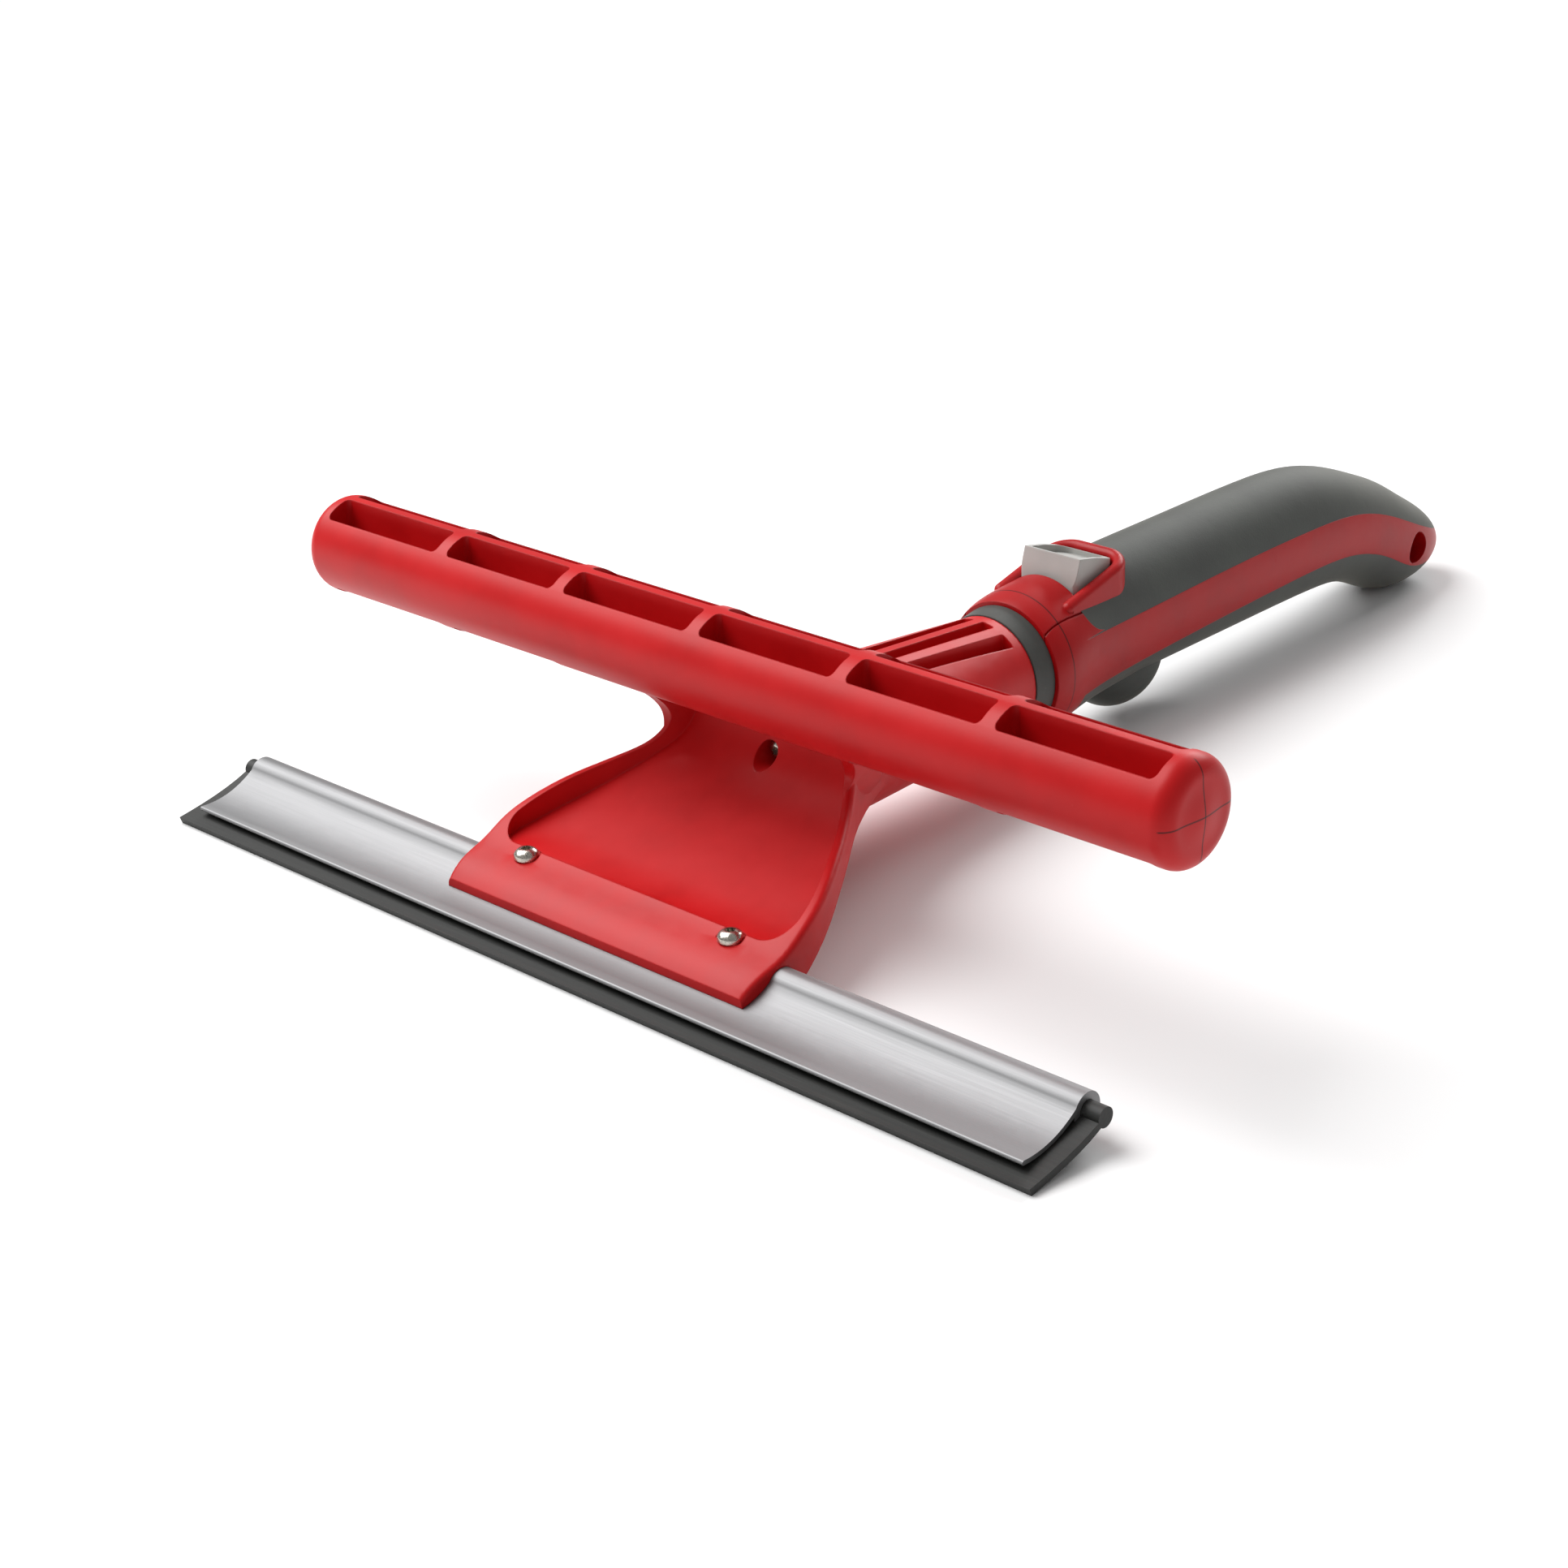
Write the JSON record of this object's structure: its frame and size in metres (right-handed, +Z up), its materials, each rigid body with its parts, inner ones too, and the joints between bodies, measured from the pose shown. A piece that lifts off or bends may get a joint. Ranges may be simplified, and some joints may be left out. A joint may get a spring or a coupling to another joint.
{
  "type": "window cleaning squeegee",
  "caption": "Window cleaning squeegee: rubber blade in an aluminium channel, screwed to a moulded head with a bar for a washing sleeve, on a latched two-tone grip handle.",
  "frame": {"origin": "middle of the tool's bounding box, on the surface it lies on", "axes": "+X along the blade, +Y from the blade to the handle's tail, +Z up"},
  "size_m": [0.3, 0.376, 0.0785],
  "materials": {
    "red_plastic": "moulded polypropylene, satin",
    "red_handle_plastic": "moulded polypropylene, satin",
    "anodised_aluminium": "extruded, clear satin anodised",
    "blade_rubber": "natural rubber, matte",
    "stainless_screw": "stainless steel, bright",
    "dark_plastic": "moulded, matte dark grey",
    "soft_grip": "overmoulded elastomer, matte dark grey",
    "light_grey_plastic": "moulded, finely spark eroded",
    "spring_steel": "bright drawn wire"
  },
  "bodies": {
    "handle": {"handle_core": "red_handle_plastic", "grip_top": "soft_grip", "grip_bottom": "soft_grip", "button_bezel": "red_handle_plastic", "button_pin": "spring_steel", "button_spring": "spring_steel", "latch_clip": "spring_steel"},
    "head": {"head_moulding": "red_plastic", "blade_channel": "anodised_aluminium", "blade_rubber": "blade_rubber", "blade_screw_left": "stainless_screw", "blade_screw_right": "stainless_screw", "coupling_plug": "dark_plastic", "plug_screw": "stainless_screw"},
    "button": {"release_button": "light_grey_plastic"}
  },
  "joints": [
    {"name": "head_release", "type": "slide", "parent": "handle", "child": "head", "axis": [0, -1, 0], "range_m": [0, 0.06], "deforming": ["latch_clip"]},
    {"name": "button_press", "type": "hinge", "parent": "handle", "child": "button", "pos_m": [0, 0.017, 0.0468], "axis": [1, 0, 0], "range_deg": [0, 4], "stiffness_Nm_per_rad": 0.6, "springref_deg": -5.73, "deforming": ["button_spring"]}
  ]
}
